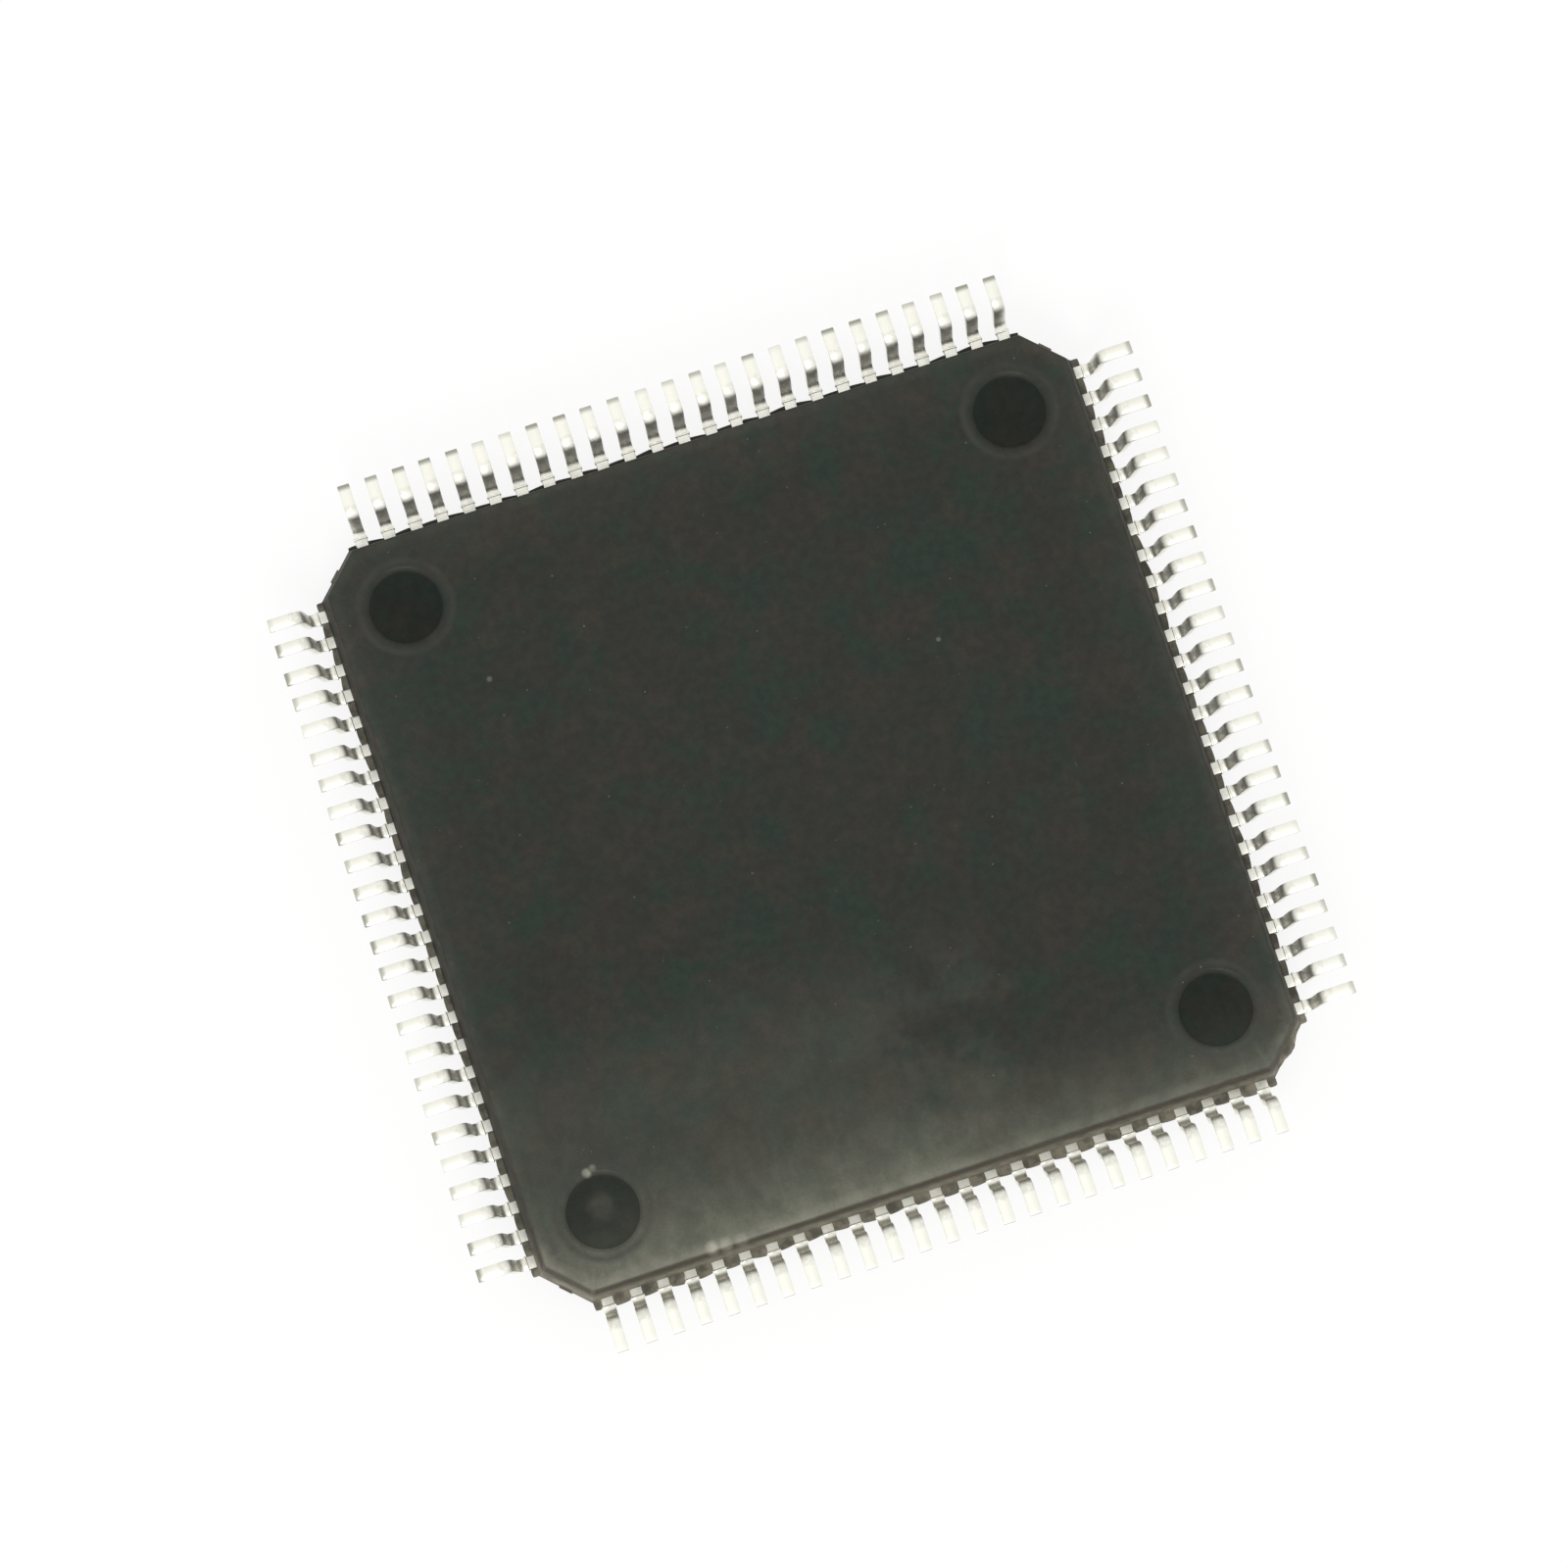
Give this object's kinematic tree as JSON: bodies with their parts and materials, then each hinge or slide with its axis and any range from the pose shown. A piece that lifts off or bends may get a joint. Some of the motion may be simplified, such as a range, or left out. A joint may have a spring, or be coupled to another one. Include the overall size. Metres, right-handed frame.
{
  "type": "quad flat pack chip",
  "caption": "Square surface-mount chip package lying on its back, with gull-wing leads on all four sides, cut corners and round moulding marks on its underside.",
  "frame": {"origin": "on the plane that the package's flat top lies on, under the middle of the moulded body", "axes": "the package lies on its back, as the picture shows it: +Z points out through its underside, towards the board it would be soldered to; +X and +Y are square to the two pairs of lead rows; the broken gate is on the +X -Y corner"},
  "size_m": [0.016, 0.016, 0.0015],
  "materials": {
    "moulding_resin": "matt, fine spark-eroded grain",
    "silicon": "polished",
    "die_glue": "silver-filled adhesive, cured",
    "copper": "rolled copper alloy, bare",
    "polyimide": "amber film",
    "matt_tin": "matt tin plate over copper",
    "gold_wire": "drawn gold"
  },
  "bodies": {
    "root": {"body": "moulding_resin", "chip": "silicon", "chip_glue": "die_glue", "chip_pad": "copper", "finger_tape": "polyimide", "back_leads": "matt_tin", "left_leads": "matt_tin", "front_leads": "matt_tin", "right_leads": "matt_tin", "back_wires": "gold_wire", "left_wires": "gold_wire", "front_wires": "gold_wire", "right_wires": "gold_wire"}
  },
  "joints": []
}
